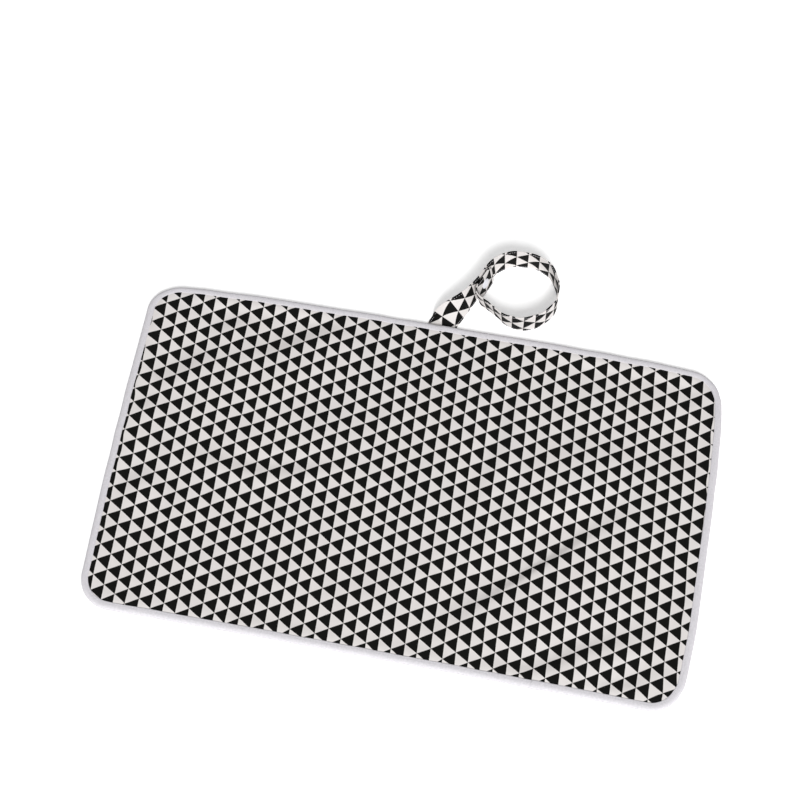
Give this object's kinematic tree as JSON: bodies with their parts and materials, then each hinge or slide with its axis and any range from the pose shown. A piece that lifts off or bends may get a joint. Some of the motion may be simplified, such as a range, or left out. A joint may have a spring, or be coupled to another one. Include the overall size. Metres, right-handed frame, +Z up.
{
  "type": "changing pad",
  "caption": "Thin padded travel changing mat that folds in thirds, with bound edges and a snap strap closed into a ring.",
  "frame": {"origin": "centre of the mat's underside, on the surface that it lies on", "axes": "+X along the long edges, +Y towards the edge that the strap leaves from, +Z up out of the padded face"},
  "size_m": [0.65, 0.4979, 0.031],
  "materials": {
    "print_fabric": "matte printed cotton, black and off-white triangles",
    "back_fabric": "matte plain cotton",
    "wadding": "soft fibre fill",
    "binding_fabric": "matte folded bias tape",
    "thread": "spun sewing thread",
    "interfacing": "stiff non-woven",
    "stud_plastic": "smooth moulded plastic"
  },
  "bodies": {
    "pad_middle": {"top_cover_middle": "print_fabric", "wadding_middle": "wadding", "back_cover_middle": "back_fabric", "edge_binding_back": "binding_fabric", "edge_binding_front": "binding_fabric", "binding_thread_back": "thread", "binding_thread_front": "thread", "strap_root": "print_fabric", "strap_root_stitching": "thread"},
    "pad_left": {"top_cover_left": "print_fabric", "wadding_left": "wadding", "back_cover_left": "back_fabric", "edge_binding_left": "binding_fabric", "binding_thread_left": "thread"},
    "pad_right": {"top_cover_right": "print_fabric", "wadding_right": "wadding", "back_cover_right": "back_fabric", "edge_binding_right": "binding_fabric", "binding_thread_right": "thread", "binding_lap": "binding_fabric"},
    "strap": {"strap_tail": "print_fabric", "strap_ring_far": "print_fabric", "strap_ring_near": "print_fabric", "strap_interfacing": "interfacing", "strap_stitching": "thread", "stud_cap": "stud_plastic", "stud": "stud_plastic"},
    "strap_end": {"strap_tongue": "print_fabric", "tongue_interfacing": "interfacing", "socket": "stud_plastic", "socket_cap": "stud_plastic"}
  },
  "joints": [
    {"name": "left_fold", "type": "hinge", "parent": "pad_middle", "child": "pad_left", "pos_m": [-0.11, 0, 0.0073], "axis": [0, 1, 0], "range_deg": [0, 179.95]},
    {"name": "right_fold", "type": "hinge", "parent": "pad_middle", "child": "pad_right", "pos_m": [0.108, 0, 0.0111], "axis": [0, -1, 0], "range_deg": [0, 179.95]},
    {"name": "strap_swing", "type": "hinge", "parent": "pad_middle", "child": "strap", "pos_m": [0.00194, 0.20893, 0.0019], "axis": [0.9336, -0.3584, 0], "range_deg": [0, 60]},
    {"name": "press_stud_release", "type": "slide", "parent": "strap", "child": "strap_end", "axis": [0.9336, -0.3584, 0], "range_m": [0, 0.01]}
  ]
}
